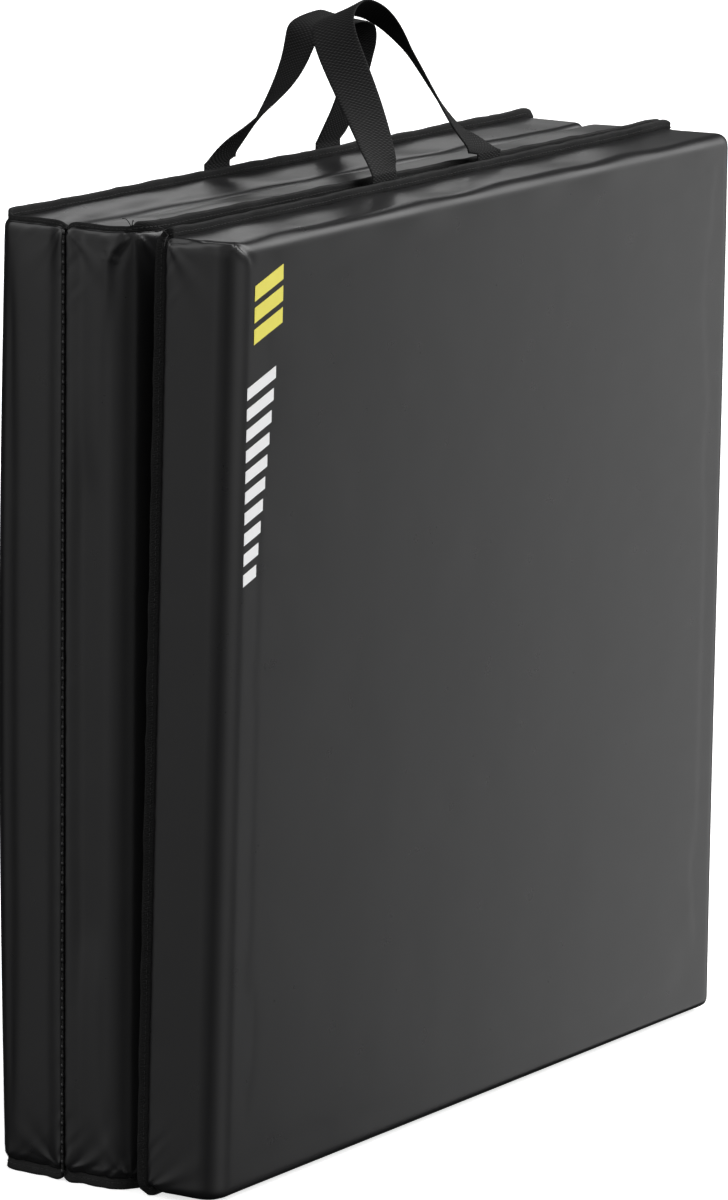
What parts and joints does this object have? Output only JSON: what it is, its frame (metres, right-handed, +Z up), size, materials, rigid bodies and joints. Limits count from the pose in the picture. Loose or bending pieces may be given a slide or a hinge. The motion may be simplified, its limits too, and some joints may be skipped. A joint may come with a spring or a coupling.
{
  "type": "folding gym mat",
  "caption": "Tri-fold padded exercise mat in black vinyl, folded in a Z and standing on edge, with bound seams and webbing carrying handles.",
  "frame": {"origin": "bottom centre of the folded mat, on the floor it stands on", "axes": "+X along a panel's width towards the front panel's fold, +Y from the printed front panel to the rear panel, +Z up"},
  "size_m": [0.6134, 0.1754, 0.7147],
  "materials": {
    "foam": "closed-cell expanded foam, matte and light grey",
    "vinyl": "satin black artificial leather with a very fine grain",
    "binding": "woven black binding tape, stitched",
    "thread": "black polyester sewing thread",
    "webbing": "flat woven black polypropylene webbing",
    "yellow_print": "satin yellow heat-bonded film",
    "white_print": "satin white heat-bonded film"
  },
  "bodies": {
    "middle": {"middle_foam_core": "foam", "middle_face_cover": "vinyl", "middle_base_cover": "vinyl", "middle_top_binding": "binding", "middle_bottom_binding": "binding", "left_hinge_seam": "thread", "right_hinge_seam": "thread"},
    "rear": {"rear_foam_core": "foam", "rear_face_cover": "vinyl", "rear_base_cover": "vinyl", "rear_edge_binding": "binding"},
    "front": {"front_foam_core": "foam", "front_face_cover": "vinyl", "front_base_cover": "vinyl", "front_edge_binding": "binding", "yellow_print_film": "yellow_print", "white_print_film": "white_print"},
    "rear_handle": {"rear_handle": "webbing"},
    "front_handle": {"front_handle": "webbing"}
  },
  "joints": [
    {"name": "fold_left", "type": "hinge", "parent": "middle", "child": "rear", "pos_m": [-0.303, 0.0334, 0], "axis": [0, 0, 1], "range_deg": [0, 180]},
    {"name": "fold_right", "type": "hinge", "parent": "middle", "child": "front", "pos_m": [0.303, -0.0194, 0], "axis": [0, 0, 1], "range_deg": [0, 178.65]},
    {"name": "rear_handle_tilt", "type": "hinge", "parent": "rear", "child": "rear_handle", "pos_m": [-0.007, 0.0845, 0.6115], "axis": [-1, 0, 0], "range_deg": [0, 107]},
    {"name": "front_handle_tilt", "type": "hinge", "parent": "front", "child": "front_handle", "pos_m": [0.01512, -0.02788, 0.6115], "axis": [0.9997, 0.0236, 0], "range_deg": [0, 108]}
  ]
}
